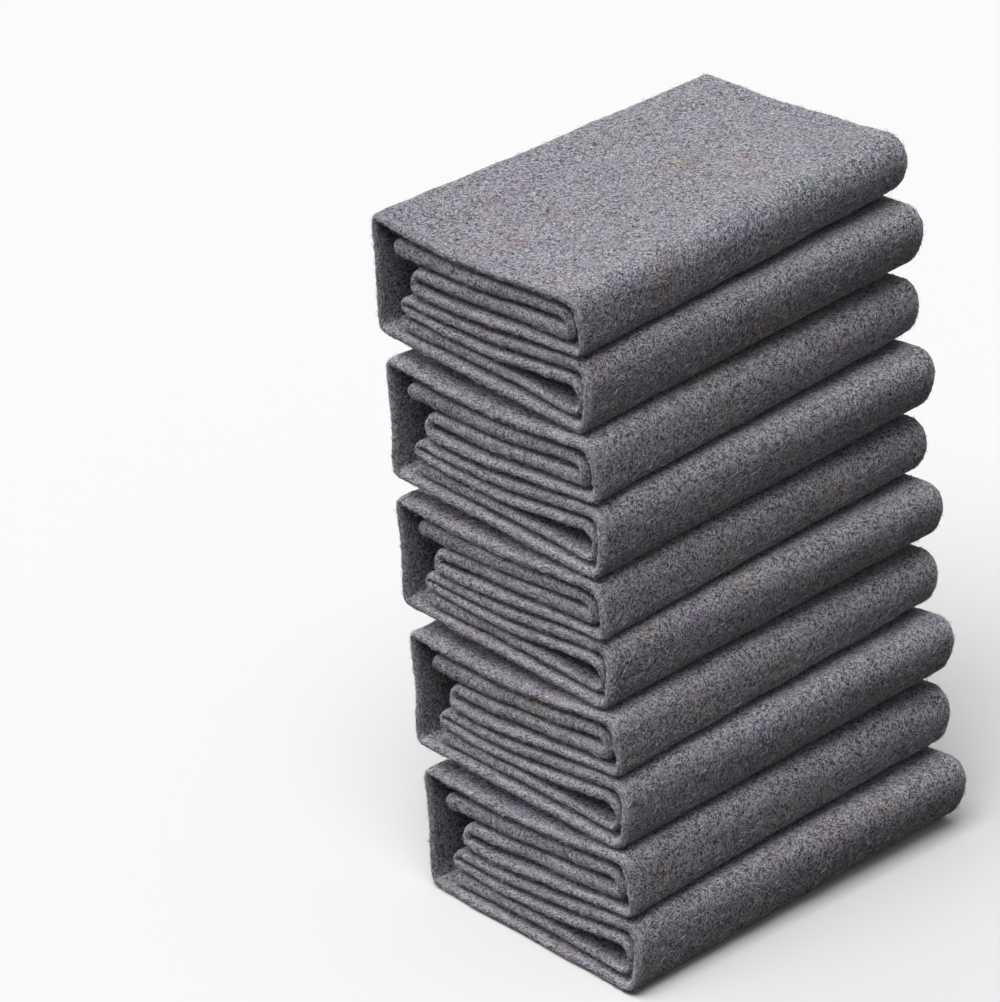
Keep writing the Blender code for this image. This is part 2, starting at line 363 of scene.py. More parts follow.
def section_loop():
    """The closed outline of the four plies, as points (share of the width, across, cloth)."""
    q3, q2, q1, q4 = PLY_PLACES
    width = FOLDED_WIDTH
    at_q1, at_q2 = (width, 0), (width, 2 * width)
    at_q3, at_q4 = (3 * width, 2 * width), (3 * width, 4 * width)
    middle, far_fold = (q1 + q2) / 2, (q3 + q2) / 2
    inner_half, slit_half = (q1 - q2) / 2 + HALF_PLY, (q1 - q2) / 2 - HALF_PLY
    outer_half = (q4 - q3) / 2 - HALF_PLY
    inner_tip, slit_tip = PLY_MM + INNER_FOLD_BACK, 2 * PLY_MM + SLIT_BACK
    inner, outer, slit = NOSE + INNER_FACES_BACK, NOSE + OUTER_FACES_BACK, 2 * PLY_MM + SLIT_FACES_BACK
    first, last, inside = FIRST_EDGE_BACK + CUT_ROUND, LAST_EDGE_BACK + CUT_ROUND, PLY_MM + SLIT_ROUND
    hidden = HIDDEN_COLUMNS
    loop = ply_face(q1 + HALF_PLY, *at_q1, inner, first, hidden, True)
    loop += half_turn(True, inner_tip, NOSE - inner_tip, middle, inner_half, 1, width, HIDDEN_STEPS)
    loop += ply_face(q2 - HALF_PLY, *at_q2, inner, inside, hidden, False)
    loop += half_turn(False, PLY_MM, SLIT_ROUND, far_fold, slit_half, 1, 2 * width, SLIT_STEPS)
    loop += ply_face(q3 + HALF_PLY, *at_q3, outer, inside, hidden, True)
    loop += half_turn(True, PLY_MM, NOSE - PLY_MM, middle, outer_half, -1, 3 * width, HIDDEN_STEPS)
    loop += ply_face(q4 - HALF_PLY, *at_q4, outer, last, hidden, False)
    loop += half_turn(False, LAST_EDGE_BACK, CUT_ROUND, q4, HALF_PLY, -1, 4 * width, CUT_STEPS)
    loop += ply_face(1.0, *at_q4, NOSE, last, INNER_FACE_COLUMNS, True)
    loop += half_turn(True, 0.0, NOSE, middle, middle, 1, 3 * width, NOSE_STEPS)
    loop += ply_face(0.0, *at_q3, NOSE, PLY_MM, FINE_COLUMNS, False)
    loop += half_turn(False, 0.0, PLY_MM, far_fold, far_fold, -1, 2 * width, FAR_STEPS)
    loop += ply_face(q2 + HALF_PLY, *at_q2, slit, PLY_MM, hidden, True)
    loop += half_turn(True, slit_tip, SLIT_ROUND, middle, slit_half, -1, width, SLIT_STEPS)
    loop += ply_face(q1 - HALF_PLY, *at_q1, slit, first, hidden, False)
    loop += half_turn(False, FIRST_EDGE_BACK, CUT_ROUND, q1, HALF_PLY, -1, 0.0, CUT_STEPS)
    return np.array(loop)


def row_steps(points):
    """The mean distance from each row of points to the next."""
    return np.linalg.norm(np.diff(points, axis=0), axis=2).mean(axis=1)


def cloth_places(run, steps, outer_steps, across, cloth):
    """Places on the cut sheet, in metres. The pattern keeps its length on the outer face."""
    surplus = np.zeros(len(run))
    for row, step in enumerate(outer_steps - steps):
        surplus[row + 1] = (surplus[row] + step) * math.exp(-steps[row] / SURPLUS_FADES)
    along = run + surplus[:, None] * (1 - 2 * across)[None, :]
    return np.stack((along, np.broadcast_to(cloth, along.shape)), axis=2) * MM


def blanket_points(blanket):
    """One blanket's sheet, row by row along its strip: its points and cloth places in metres,
    the share across the strip's thickness, and the rows' run, relief and climb."""
    share, across, cloth = section_loop().T
    x, z, thick, near_inset, far_inset, relief = strip_rows(share).transpose(1, 0, 2)
    middle = np.stack((x, settled(x, z, share, blanket)), axis=2)
    heading = unit(np.gradient(middle, axis=0))
    normal = np.stack((-heading[:, :, 1], heading[:, :, 0]), axis=2)
    half = normal * (thick * pressed(x, share))[:, :, None] / 2
    left = untangled(middle + half, middle)
    right = untangled(middle - half, middle)
    steps = row_steps(middle)
    run = np.concatenate(((0,), np.cumsum(steps)))[:, None]
    outward = unevenness(run, cloth, RELIEF, blanket.seed, RELIEF_INSIDE) * relief
    point = right + (left - right) * across[None, :, None]
    point += unit(right - left) * (outward * np.clip(1 - 2 * across, 0, 1))[:, :, None]
    y = near_inset + (FOLDED_WIDTH - far_inset - near_inset) * share
    wander = unevenness(run, 0, EDGE_WANDER, blanket.seed + EDGE_SEED)
    y = y + wander * np.exp(-share * FOLDED_WIDTH / EDGE_REACH)
    sag = SAG.depth * waves(point[:, :, 0], y, SAG, blanket.seed + SAG_SEED)
    point[:, :, 1] += sag * (1 - np.exp(-np.maximum(point[:, :, 1] - 2 * BASE, 0) / SAG_FROM))
    points = np.stack((point[:, :, 0], y, point[:, :, 1]), axis=2) * MM
    cloths = cloth_places(run, steps, row_steps(right), across, cloth)
    return points, cloths, across, run[:, 0], relief, heading[:, :, 1]


def placed(points, blanket):
    """Points turned by the blanket's swing and moved to where its solid is."""
    turn = math.radians(blanket.swing)
    x = points[..., 0] * math.cos(turn) - points[..., 1] * math.sin(turn)
    y = points[..., 0] * math.sin(turn) + points[..., 1] * math.cos(turn)
    low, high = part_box(blanket.name)
    x += (low[0] + high[0] - x.min() - x.max()) / 2
    y += (low[1] + high[1] - y.min() - y.max()) / 2
    z = points[..., 2] - points[..., 2].min() + low[2]
    return np.stack((x, y, z), axis=-1)


def grid_mesh(name, points, cloths, rim):
    """A closed mesh through rows of points, with cloth coordinates and a value for the painted rim
    highlight.
    """
    rows, count = points.shape[:2]
    mesh = bpy.data.meshes.new(name)
    index = np.arange(rows * count).reshape(rows, count)
    following = np.roll(index, -1, axis=1)
    quads = np.stack((index[:-1], following[:-1], following[1:], index[1:]), axis=2).reshape(-1, 4)
    ends = (tuple(index[0][::-1].tolist()), tuple(index[-1].tolist()))
    mesh.from_pydata(points.reshape(-1, 3), [], quads.tolist() + list(ends))
    mesh.attributes.new("cloth", "FLOAT_VECTOR", "POINT")
    flat = np.concatenate((cloths.reshape(-1, 2), np.zeros((rows * count, 1))), axis=1)
    mesh.attributes["cloth"].data.foreach_set("vector", flat.astype(np.float32).ravel())
    mesh.attributes.new("rim", "FLOAT", "POINT")
    mesh.attributes["rim"].data.foreach_set("value", rim.astype(np.float32).ravel())
    mesh.shade_smooth()
    return mesh


def add_object(name, data):
    piece = bpy.data.objects.new(name, data)
    bpy.context.collection.objects.link(piece)
    return piece


# Loose fibres, in millimetres: their length and breadth, how high their middle and their
# far end are above the felt, how many there are for each square centimetre, and how many
# points each has.
Fibre = namedtuple("Fibre", "length breadth middle end density points")
FIBRES = (
    Fibre(5.0, 0.36, 0.30, 0.0, 4.7, 3),
    Fibre(7.5, 0.30, 0.45, 0.9, 0.8, 4),
    Fibre(4.5, 0.24, 1.00, 1.9, 0.4, 4),
)

# How unevenly long and high they are, how much they curl, how deep their ends start, the
# power by which their far ends rise, and how many corners their section has
LENGTH_SPREAD, LIFT_SPREAD = (0.5, 1.5), (0.6, 1.4)
CURL, BURIED, END_RISE = 0.28, 0.06, 1.5
CORNERS = 3
SQUARE_CENTIMETRE = 100.0

# How much denser they are along the outer face's two edges, how broad that band is in
# millimetres, and how dense they are on the ends of the layers inside
EDGE_DENSITY, EDGE_BAND, END_DENSITY = 7.0, 4.0, 2.6

# Fibres are left out under the blanket above, from so far under its base and so far inside
# its near side and its rolls, in metres
COVERED_DEPTH, COVERED_INSET = 0.0015, 0.003

# The painted rim highlight, lighter colour standing in for the light that the fuzz catches
# where the outer face turns into the ends: how far inwards it is and how broad, in
# millimetres, and where it ends, as a share of the strip's thickness. The spine's painted
# highlight stays full until it fades just before its own end, and the layers inside have a
# weaker painted highlight on both sides of theirs.
RIM_INWARD, RIM_BREADTH, RIM_DEPTH = 1.5, 2.0, 0.8
SPINE_RIM, SPINE_RIM_FADE, INNER_RIM = 0.62, 0.25, 0.45


def inward_of(share):
    """Millimetres from the nearer end of the folded width."""
    return np.minimum(share, 1 - share) * FOLDED_WIDTH


def outermost(relief):
    """How far rows with this relief belong to the blanket's outer face, from 0 to 1."""
    return np.clip(relief * 2 - 1, 0, 1)


def painted_rim_highlight(share, across, relief, climb):
    """How strongly the painted rim highlight lightens the sheet's points, from 0 to 1."""
    inward, outer = inward_of(share), outermost(relief)
    edge = np.exp(-(((inward - RIM_INWARD) / RIM_BREADTH) ** 2))
    rim = outer * np.clip(climb, 0, 1) ** 2 * edge * np.clip(1 - across / RIM_DEPTH, 0, 1)
    spine = np.clip((SPINE_RIM - across) / SPINE_RIM_FADE, 0, 1)
    rim += outer * np.clip(-climb, 0, 1) * (inward < NOSE) * spine
    return rim + (1 - outer) * INNER_RIM * edge * abs(2 * across - 1) ** 2


class Surface:
    """The outer face of a folded sheet with its two ends, by millimetres along the cloth."""

    def __init__(self, points, normals, run, relief):
        share, across, _ = section_loop().T
        first = int(np.argmax(across == 0.0)) - NOSE_STEPS
        last = first + NOSE_STEPS + FINE_COLUMNS + 1 + FAR_STEPS
        self.points, self.normals = points[:, first:last], normals[:, first:last]
        self.run = run
        steps = np.linalg.norm(np.diff(self.points, axis=1), axis=2).mean(axis=0) / MM
        self.breadth = np.concatenate(((0,), np.cumsum(steps)))
        outer = outermost(relief[:, first:last])
        inward = inward_of(share[first:last])
        edge = np.clip(1 - inward / EDGE_BAND, 0, 1)
        end = (across[first:last] > 0) | (inward < NOSE)
        self.weights = outer * (1 + EDGE_DENSITY * edge) + (1 - outer) * end * END_DENSITY

    def cells(self):
        """The size of every cell times its weight, in square millimetres."""
        along = np.linalg.norm(np.diff(self.points, axis=0), axis=2) / MM
        sideways = np.linalg.norm(np.diff(self.points, axis=1), axis=2) / MM
        return along[:, :-1] * sideways[:-1] * self.weights[:-1, :-1]

    def at(self, run, breadth):
        """Positions and normals at places given in millimetres."""
        row = np.interp(run, self.run, np.arange(len(self.run)))
        column = np.interp(breadth, self.breadth, np.arange(len(self.breadth)))
        low_row = np.minimum(row.astype(int), len(self.run) - 2)
        low_column = np.minimum(column.astype(int), len(self.breadth) - 2)
        a, b = (row - low_row)[..., None], (column - low_column)[..., None]
        found = []
        for grid in (self.points, self.normals):
            near = blend(grid[low_row, low_column], grid[low_row, low_column + 1], b)
            far = blend(grid[low_row + 1, low_column], grid[low_row + 1, low_column + 1], b)
            found.append(blend(near, far, a))
        return found


def fibre_paths(surface, fibre, rng):
    """Paths of one kind of fibre, laid at random over the surface, with their normals."""
    cells = surface.cells()
    count = int(cells.sum() / SQUARE_CENTIMETRE * fibre.density)
    picked = rng.choice(cells.size, count, p=(cells / cells.sum()).ravel())
    row, column = np.unravel_index(picked, cells.shape)
    run = blend(surface.run[row], surface.run[row + 1], rng.random(count))
    breadth = blend(surface.breadth[column], surface.breadth[column + 1], rng.random(count))
    angle = rng.uniform(0, 2 * math.pi, count)[:, None]
    length = fibre.length * rng.uniform(*LENGTH_SPREAD, count)[:, None]
    curl = rng.normal(0, CURL, count)[:, None]
    share = np.linspace(0, 1, fibre.points)[None, :]
    along = length * (share - 0.5)
    aside = length * curl * (2 * share - 1) ** 2
    run = run[:, None] + along * np.cos(angle) - aside * np.sin(angle)
    breadth = breadth[:, None] + along * np.sin(angle) + aside * np.cos(angle)
    places, normals = surface.at(run, breadth)
    lift = fibre.middle * np.sin(math.pi * share) + fibre.end * share**END_RISE
    lift = (lift - BURIED * (1 - share)) * rng.uniform(*LIFT_SPREAD, count)[:, None]
    return places + normals * lift[:, :, None] * MM, normals


def spindles(paths, normals, radius):
    """Vertices and triangles of closed, pointed threads along the paths."""
    count, length = paths.shape[:2]
    rings = length - 2
    heading = unit(paths[:, 2:] - paths[:, :-2])
    side = unit(np.cross(normals[:, 1:-1], heading))
    up = np.cross(heading, side)
    turn = np.arange(CORNERS) * 2 * math.pi / CORNERS + math.pi / 2
    around = side[:, :, None] * np.cos(turn)[:, None] + up[:, :, None] * np.sin(turn)[:, None]
    rim = paths[:, 1:-1, None] + around * radius
    vertices = np.concatenate((paths[:, :1], rim.reshape(count, -1, 3), paths[:, -1:]), axis=1)
    last = 1 + rings * CORNERS
    faces = []
    for corner in range(CORNERS):
        following = (corner + 1) % CORNERS
        faces.append((0, 1 + following, 1 + corner))
        for ring in range(rings - 1):
            low, high = 1 + ring * CORNERS, 1 + (ring + 1) * CORNERS
            faces.append((low + corner, low + following, high + following))
            faces.append((low + corner, high + following, high + corner))
        faces.append((last, last - CORNERS + corner, last - CORNERS + following))
    offsets = np.arange(count)[:, None, None] * (last + 1)
    return vertices.reshape(-1, 3), (np.array(faces)[None] + offsets).reshape(-1, 3)


def covered(paths, above):
    """Which fibres lie under the blanket above."""
    if above is None:
        return np.zeros(len(paths), bool)
    low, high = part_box(above)
    under = paths[..., 2] > low[2] - COVERED_DEPTH
    inside = (paths[..., 0] < high[0] - COVERED_INSET) & (paths[..., 1] > low[1] + COVERED_INSET)
    return (under & inside).any(axis=1)


def fuzz_mesh(blanket, surface, above):
    """One blanket's loose fibres as a single mesh, with a colour for each of them."""
    rng = np.random.default_rng(blanket.seed + FUZZ_SEED)
    all_vertices, all_faces, all_colours, total = [], [], [], 0
    for fibre in FIBRES:
        paths, normals = fibre_paths(surface, fibre, rng)
        colours = fibre_colours(len(paths), rng)
        keep = ~covered(paths, above)
        paths, normals, colours = paths[keep], normals[keep], colours[keep]
        paths[..., 2] = np.maximum(paths[..., 2], fibre.breadth * MM)
        vertices, faces = spindles(paths, normals, fibre.breadth / 2 * MM)
        all_vertices.append(vertices)
        all_faces.append(faces + total)
        all_colours.append(np.repeat(colours, len(vertices) // len(paths), axis=0))
        total += len(vertices)
    mesh = bpy.data.meshes.new(blanket.name + "_fuzz")
    mesh.from_pydata(np.concatenate(all_vertices).tolist(), [], np.concatenate(all_faces).tolist())
    colours = np.concatenate(all_colours).astype(np.float32)
    mesh.attributes.new("fibre", "FLOAT_COLOR", "POINT")
    mesh.attributes["fibre"].data.foreach_set("color", colours.ravel())
    mesh.shade_smooth()
    return mesh


def signed_volume(mesh):
    """Three times the mesh's volume, negative where its faces look inwards."""
    total = 0.0
    for polygon in mesh.polygons:
        total += polygon.center.dot(polygon.normal) * polygon.area
    return total


def add_blanket(blanket, above):
    """Adds one blanket's sheet and its loose fibres, under the blanket above, if any."""
    points, cloths, across, run, relief, climb = blanket_points(blanket)
    points = placed(points, blanket)
    # The painted rim highlight, stored on the sheet's points
    rim = painted_rim_highlight(section_loop()[:, 0], across, relief, climb)
    mesh = grid_mesh(blanket.name + "_sheet", points, cloths, rim)
    if signed_volume(mesh) < 0:
        mesh.flip_normals()
    sheet = add_object(blanket.name + "_sheet", mesh)
    normals = np.empty(points.size)
    mesh.vertices.foreach_get("normal", normals.ravel())
    surface = Surface(points, normals.reshape(points.shape), run, relief)
    fuzz = add_object(blanket.name + "_fuzz", fuzz_mesh(blanket, surface, above))
    return sheet, fuzz


# The felt's colours, as linear values. The tinted fibres are warm, blue, plum, green and
# ochre.
FELT_GREY = (0.188, 0.181, 0.218, 1.0)
DARK_FIBRE = (0.018, 0.017, 0.024, 1.0)
# The light fibres' colour, also used for the painted rim highlight
LIGHT_FIBRE_AND_RIM_HIGHLIGHT = (0.68, 0.67, 0.73, 1.0)
TINTED_FIBRES = (
    (0.34, 0.14, 0.13, 1.0),
    (0.10, 0.13, 0.31, 1.0),
    (0.22, 0.10, 0.24, 1.0),
    (0.13, 0.22, 0.15, 1.0),
    (0.40, 0.27, 0.11, 1.0),
)

# The loose fibres' colours: how light they are, how unevenly and within which limits, their
# tinge, the shares of dark and of tinted ones, and how much lighter a tinted one is than
# the same in the felt
LOOSE_LIGHT, LOOSE_SPREAD, LOOSE_LIMITS = 0.68, 0.14, (0.2, 0.9)
LOOSE_TINGE = (1.0, 0.985, 1.06, 1.0)
LOOSE_DARK_SHARE, LOOSE_TINTED_SHARE = 0.16, 0.12
LOOSE_TINT_GAIN = 1.5


def fibre_colours(count, rng):
    """Colours of loose fibres: most are light, a few dark or tinted."""
    light = np.clip(rng.normal(LOOSE_LIGHT, LOOSE_SPREAD, count), *LOOSE_LIMITS)[:, None]
    colours = light * np.array(LOOSE_TINGE)
    tints = np.array(TINTED_FIBRES)
    chance = rng.random(count)
    picked = rng.integers(0, len(tints), count)
    tinted = chance < LOOSE_TINTED_SHARE
    colours[tinted] = tints[picked[tinted]] * LOOSE_TINT_GAIN
    colours[chance > 1 - LOOSE_DARK_SHARE] = DARK_FIBRE
    colours[:, 3] = 1.0
    return colours


class Nodes:
    """A small helper that adds shader nodes to a material or a world and links them."""

    def __init__(self, owner, shader="Principled BSDF"):
        owner.use_nodes = True
        self.tree = owner.node_tree
        self.shader = self.tree.nodes[shader]

    def set(self, node, **inputs):
        """Sets or links inputs by name, with _ for a space, or by number, such as i0."""
        for key, value in inputs.items():
            numbered = key[0] == "i" and key[1:].isdigit()
            socket = node.inputs[int(key[1:]) if numbered else key.replace("_", " ")]
            if isinstance(value, bpy.types.NodeSocket):
                self.tree.links.new(value, socket)
            else:
                socket.default_value = value

    def add(self, kind, settings=(), **inputs):
        node = self.tree.nodes.new(kind)
        for key, value in dict(settings).items():
            setattr(node, key, value)
        self.set(node, **inputs)
        return node

    def attribute(self, name):
        return self.add("ShaderNodeAttribute", {"attribute_name": name}).outputs

    def math(self, operation, a, b=0.0, clamp=False):
        node = self.add("ShaderNodeMath", {"operation": operation, "use_clamp": clamp}, i0=a, i1=b)
        return node.outputs[0]

    def ramp(self, value, low, high, to_low=0.0, to_high=1.0):
        """A smooth step from to_low, where the value is low, to to_high, where it is high."""
        span = {"From_Min": low, "From_Max": high, "To_Min": to_low, "To_Max": to_high}
        settings = {"interpolation_type": "SMOOTHSTEP"}
        return self.add("ShaderNodeMapRange", settings, Value=value, **span).outputs[0]

    def mix(self, share, a, b):
        """A mix of two colours: a mix node's sockets for these are 6 and 7, and 2 is its result."""
        return self.add("ShaderNodeMix", {"data_type": "RGBA"}, i0=share, i6=a, i7=b).outputs[2]

    def noise(self, vector, kind):
        settings = {"noise_dimensions": "3D"}
        node = self.add("ShaderNodeTexNoise", settings, Vector=vector, Scale=kind.scale)
        self.set(node, Detail=kind.detail, Roughness=kind.rough, Distortion=kind.distortion)
        return node.outputs[0]

    def mapped(self, vector, angle=0.0, scale=(1, 1, 1), shift=(0, 0, 0)):
        node = self.add("ShaderNodeMapping", {"vector_type": "POINT"}, Vector=vector)
        self.set(node, Rotation=(0, 0, math.radians(angle)), Scale=scale, Location=shift)
        return node.outputs[0]


# The felt's noises, scaled in cells to the metre, and the tones that they give, as the
# noise's values at which a tone starts and is full, with the tones there
Noise = namedtuple("Noise", "scale detail rough distortion")
CLOUDS, CLOUD_TONES = Noise(26.0, 3.0, 0.6, 0.0), (0.3, 0.7, 0.82, 1.10)
MOTTLE, MOTTLE_TONES = Noise(380.0, 4.0, 0.8, 0.4), (0.3, 0.7, -0.76, 0.76)
SPECKS, SPECKS_FROM, SPECKS_SHARE = Noise(620.0, 1.0, 0.5, 0.0), (0.61, 0.66), 0.75
# How strongly the painted rim highlight shows: the mottle's values at which it starts and is full,
# with its strengths there
PAINTED_RIM_TONES = (0.3, 0.6, 0.7, 1.2)

# Each blanket's pattern is taken so far along from the next one's, by its seed
PATTERN_APART = 0.173

# Fibres in the felt lie in these directions, in degrees. Each is a noise drawn out along
# its own direction, and taken from another place than the others.
FIBRE_ANGLES = (8, 41, 77, 112, 149)
STREAK_NOISE = Noise(1.0, 1.0, 0.5, 0.0)
STREAKS_APART = (0.7, 0.31)
TURNS_APART = 0.013

# Streaks of fibre: length and breadth in metres, the noise's values at which they start
# and are full, and their turn from the directions above, in degrees
Streak = namedtuple("Streak", "length breadth low high turn")
LIGHT_STREAK = Streak(0.0042, 0.00062, 0.605, 0.66, 0)
DARK_STREAK = Streak(0.00252, 0.000992, 0.61, 0.68, 17)
BROAD_STREAK = Streak(0.011, 0.0022, 0.56, 0.80, 29)
BROAD_SHARE = 0.22

# Patches of tinted fibres: the cells' size in metres, the patch's reach in its cell, where
# full colour ends in it, and how strong it is. The cells' sides are warped, only some of
# them are tinted, and they show most where the mottle is light.
Patch = namedtuple("Patch", "cell spread core amount")
PATCHES = (Patch(0.040, 0.58, 0.145, 0.95), Patch(0.011, 0.36, 0.09, 0.95))
WARP_SCALE, WARP_REACH = 1.6, 0.5
CHOSEN_FROM, TUFTS_FROM = (0.28, 0.38), (0.40, 0.62)

# How high the streaks and the mottle stand in the bump, and how the felt takes light
LIGHT_HEIGHT, DARK_HEIGHT, MOTTLE_HEIGHT = 0.6, -0.7, 1.2
BUMP = {"Strength": 0.55, "Distance": 0.0006}
FELT_FINISH = {
    "Roughness": 0.95,
    "Specular_IOR_Level": 0.15,
    "Sheen_Weight": 0.40,
    "Sheen_Roughness": 0.35,
}
FIBRE_FINISH = {"Roughness": 0.85, "Specular_IOR_Level": 0.2}


def streaks(nodes, cloth, kind):
    """A mask of thin streaks that lie in all the fibre directions."""
    mask = None
    for number, angle in enumerate(FIBRE_ANGLES):
        aside, ahead = STREAKS_APART
        shift = (kind.turn * TURNS_APART + number * aside, number * ahead, 0)
        turned = nodes.mapped(cloth, angle + kind.turn, shift=shift)
        drawn = nodes.mapped(turned, scale=(1 / kind.length, 1 / kind.breadth, 1 / kind.breadth))
        found = nodes.ramp(nodes.noise(drawn, STREAK_NOISE), kind.low, kind.high)
        mask = found if mask is None else nodes.math("MAXIMUM", mask, found)
    return mask


def tint_choice(nodes, value):
    """One of the tinted fibres' colours, by a value from 0 to 1."""
    choice = nodes.add("ShaderNodeValToRGB", {}, i0=value)
    ramp = choice.color_ramp
    ramp.interpolation = "CONSTANT"
    while len(ramp.elements) < len(TINTED_FIBRES):
        ramp.elements.new(0.5)
    for number, colour in enumerate(TINTED_FIBRES):
        ramp.elements[number].position = number / len(TINTED_FIBRES)
        ramp.elements[number].color = colour
    return choice.outputs[0]


def tints(nodes, cloth, patch, colour, mottle):
    """Colour with patches of tinted fibres in some cells of the felt."""
    warp = nodes.add("ShaderNodeTexNoise", {}, Vector=cloth, Scale=WARP_SCALE / patch.cell)
    bent = nodes.add("ShaderNodeVectorMath", {"operation": "SCALE"}, i0=warp.outputs["Color"])
    nodes.set(bent, Scale=patch.cell * WARP_REACH)
    moved = nodes.add("ShaderNodeVectorMath", {"operation": "ADD"}, i0=cloth, i1=bent.outputs[0])
    cells = nodes.add("ShaderNodeTexVoronoi", {"feature": "F1"}, Vector=moved.outputs[0])
    nodes.set(cells, Scale=1 / patch.cell)
    near = nodes.ramp(cells.outputs["Distance"], patch.core, patch.spread, 1.0, 0.0)
    pick = nodes.add("ShaderNodeSeparateColor", {}, i0=cells.outputs["Color"])
    chosen = nodes.ramp(pick.outputs[1], *CHOSEN_FROM)
    tufts = nodes.math("MULTIPLY", nodes.ramp(mottle, *TUFTS_FROM), patch.amount)
    share = nodes.math("MULTIPLY", nodes.math("MULTIPLY", near, chosen), tufts)
    return nodes.mix(share, colour, tint_choice(nodes, pick.outputs[0]))


def felt_material(name, seed):
    """Recycled-fibre felt: a mottled grey of short fibres, light and dark, with a few tinted ones, and
    a painted rim highlight along the ends.
    """
    material = bpy.data.materials.new(name)
    nodes = Nodes(material)
    apart = (0, 0, seed * PATTERN_APART)
    cloth = nodes.mapped(nodes.attribute("cloth")["Vector"], shift=apart)
    place = nodes.mapped(nodes.add("ShaderNodeTexCoord").outputs["Object"], shift=apart)
    clouds = nodes.ramp(nodes.noise(cloth, CLOUDS), *CLOUD_TONES)
    mottle = nodes.noise(place, MOTTLE)
    light = streaks(nodes, cloth, LIGHT_STREAK)
    dark = streaks(nodes, cloth, DARK_STREAK)
    broad = streaks(nodes, cloth, BROAD_STREAK)
    specks = nodes.ramp(nodes.noise(place, SPECKS), *SPECKS_FROM)
    tone = nodes.math("ADD", clouds, nodes.ramp(mottle, *MOTTLE_TONES))
    grey = nodes.add("ShaderNodeVectorMath", {"operation": "SCALE"}, i0=FELT_GREY[:3], Scale=tone)
    colour = nodes.mix(nodes.math("MULTIPLY", broad, BROAD_SHARE), grey.outputs[0], LIGHT_FIBRE_AND_RIM_HIGHLIGHT)
    for patch in PATCHES:
        colour = tints(nodes, cloth, patch, colour, mottle)
    # Painted highlight: the rim attribute mixes the light fibres' colour in along the ends, standing
    # in for light that the fuzz catches there
    rim = nodes.ramp(mottle, *PAINTED_RIM_TONES)
    rim = nodes.math("MULTIPLY", nodes.attribute("rim")["Fac"], rim, clamp=True)
    colour = nodes.mix(rim, colour, LIGHT_FIBRE_AND_RIM_HIGHLIGHT)
    colour = nodes.mix(dark, colour, DARK_FIBRE)
    colour = nodes.mix(light, colour, LIGHT_FIBRE_AND_RIM_HIGHLIGHT)
    colour = nodes.mix(nodes.math("MULTIPLY", specks, SPECKS_SHARE), colour, DARK_FIBRE)
    raised = nodes.math("MULTIPLY", light, LIGHT_HEIGHT)
    height = nodes.math("ADD", raised, nodes.math("MULTIPLY", dark, DARK_HEIGHT))
    height = nodes.math("ADD", height, nodes.math("MULTIPLY", mottle, MOTTLE_HEIGHT))
    bump = nodes.add("ShaderNodeBump", {}, Height=height, **BUMP)
    nodes.set(nodes.shader, Base_Color=colour, Normal=bump.outputs[0], **FELT_FINISH)
    return material


def fibre_material():
    """The loose fibres, each in its own colour."""
    material = bpy.data.materials.new("loose_fibre")
    nodes = Nodes(material)
    colour = nodes.attribute("fibre")["Color"]
    nodes.set(nodes.shader, Base_Color=colour, **FIBRE_FINISH)
    return material


# The camera stands where the photograph was taken from. Its lens is long: the nearer and
# the farther end of the stack are almost the same size in the picture. Angles are in
# degrees, its distance and how far it is moved aside and up in metres.
IMAGE_WIDTH, IMAGE_HEIGHT = 1000, 1002
FOCAL_PIXELS = 12000
SENSOR = 36.0
CAMERA_AZIMUTH, CAMERA_ELEVATION, CAMERA_DISTANCE = 45.787, 30.750, 8.777
CAMERA_ASIDE, CAMERA_ABOVE = -0.126, 0.011
CLIP_END = 100.0


def add_camera():
    low, high = (Vector(corner) for corner in CAD_BOX)
    middle = (low + high) / 2
    azimuth, elevation = math.radians(CAMERA_AZIMUTH), math.radians(CAMERA_ELEVATION)
    right = Vector((math.cos(azimuth), math.sin(azimuth), 0))
    back = Vector((math.sin(azimuth), -math.cos(azimuth), 0)) * math.cos(elevation)
    back.z = math.sin(elevation)
    up = back.cross(right)
    data = bpy.data.cameras.new("camera")
    data.sensor_width = SENSOR
    data.lens = FOCAL_PIXELS * SENSOR / max(IMAGE_WIDTH, IMAGE_HEIGHT)
    data.clip_end = CLIP_END
    camera = add_object("camera", data)
    place = middle + back * CAMERA_DISTANCE + right * CAMERA_ASIDE + up * CAMERA_ABOVE
    camera.matrix_world = Matrix.Translation(place) @ Matrix((right, up, back)).transposed().to_4x4()
    bpy.context.scene.camera = camera


# The floor lies just under the stack's base, in metres, and sends no light back to it
FLOOR_HALF, FLOOR_DROP = 12.0, 0.0005
FLOOR_FINISH = {
    "Base_Color": (0.90, 0.90, 0.90, 1.0),
    "Roughness": 0.9,
    "Specular_IOR_Level": 0.1,
}


def add_floor():
    sides = ((-1, -1), (1, -1), (1, 1), (-1, 1))
    corners = [(x * FLOOR_HALF, y * FLOOR_HALF, -FLOOR_DROP) for x, y in sides]
    mesh = bpy.data.meshes.new("floor")
    mesh.from_pydata(corners, [], [(0, 1, 2, 3)])
    material = bpy.data.materials.new("floor")
    nodes = Nodes(material)
    nodes.set(nodes.shader, **FLOOR_FINISH)
    mesh.materials.append(material)
    floor = add_object("floor", mesh)
    floor.visible_diffuse = False


# A broad soft light overhead, and a weaker one from the side of the spines. The sky is
# bright above and dim at the sides, and the little light from below stands for what a
# floor sends back. Lamps spread in degrees. The sky starts to brighten and is full at
# these heights of the direction.
SUN_STRENGTH, SUN_SPREAD = 2.25, 45.0
SUN_DIRECTION = (-0.05, 0.34, -1.0)
SIDE_STRENGTH, SIDE_SPREAD = 1.5, 25.0
SIDE_DIRECTION = (1.0, 0.25, -0.20)
SKY_STRENGTH = 0.42
SKY_STARTS, SKY_FULL = 0.20, 0.90
SKY_SIDE, SKY_BELOW = 0.20, 0.08


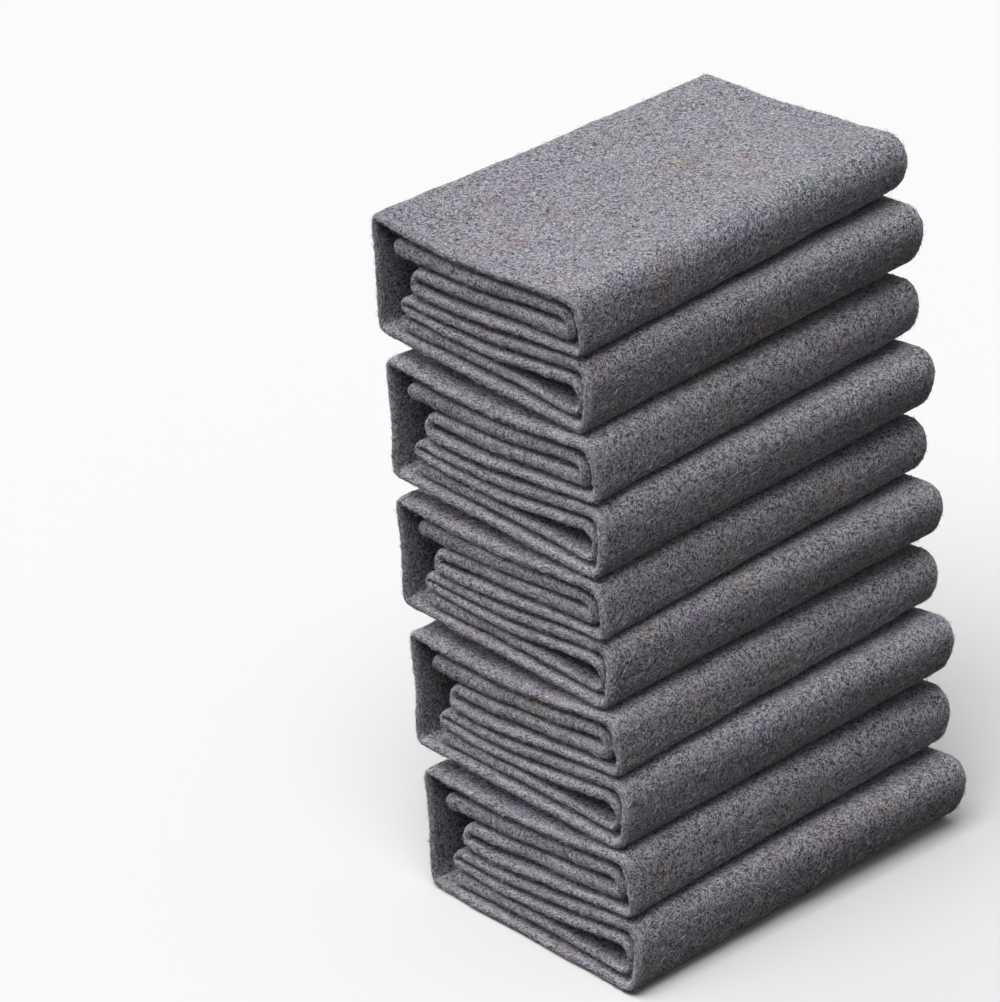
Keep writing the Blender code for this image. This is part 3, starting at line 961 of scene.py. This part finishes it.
def add_lamp(name, strength, spread, direction):
    sun = bpy.data.lights.new(name, "SUN")
    sun.energy = strength
    sun.angle = math.radians(spread)
    lamp = add_object(name, sun)
    lamp.rotation_euler = Vector(direction).to_track_quat("-Z", "Y").to_euler()


def add_sky():
    """A white sky. Its strength goes by the direction's height, -1 to 1, on a ramp from 0 to 1."""
    world = bpy.data.worlds.new("studio")
    nodes = Nodes(world, "Background")
    direction = nodes.add("ShaderNodeTexCoord").outputs["Generated"]
    height = nodes.add("ShaderNodeSeparateXYZ", {}, i0=direction).outputs["Z"]
    place = nodes.add("ShaderNodeMath", {"operation": "MULTIPLY_ADD"}, i0=height, i1=0.5, i2=0.5)
    bands = nodes.add("ShaderNodeValToRGB", {}, i0=place.outputs[0])
    bands.color_ramp.interpolation = "EASE"
    side, top = bands.color_ramp.elements
    side.position = 0.5 + SKY_STARTS / 2
    side.color = (SKY_SIDE, SKY_SIDE, SKY_SIDE, 1)
    top.position = 0.5 + SKY_FULL / 2
    top.color = (1, 1, 1, 1)
    below = bands.color_ramp.elements.new(0.5)
    below.color = (SKY_BELOW, SKY_BELOW, SKY_BELOW, 1)
    strength = nodes.math("MULTIPLY", bands.outputs[0], SKY_STRENGTH)
    nodes.set(nodes.shader, Color=(1, 1, 1, 1), Strength=strength)
    bpy.context.scene.world = world


def add_light():
    add_lamp("overhead", SUN_STRENGTH, SUN_SPREAD, SUN_DIRECTION)
    add_lamp("side", SIDE_STRENGTH, SIDE_SPREAD, SIDE_DIRECTION)
    add_sky()


def main():
    bpy.context.scene.view_settings.view_transform = "Standard"
    fibres = fibre_material()
    names = [blanket.name for blanket in BLANKETS] + [None]
    for blanket, above in zip(BLANKETS, names[1:]):
        sheet, fuzz = add_blanket(blanket, above)
        sheet.data.materials.append(felt_material("felt_" + blanket.name, blanket.seed))
        fuzz.data.materials.append(fibres)
        for piece in (sheet, fuzz):
            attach(piece, "root")
        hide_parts(blanket.name)
    add_camera()
    add_floor()
    add_light()


main()
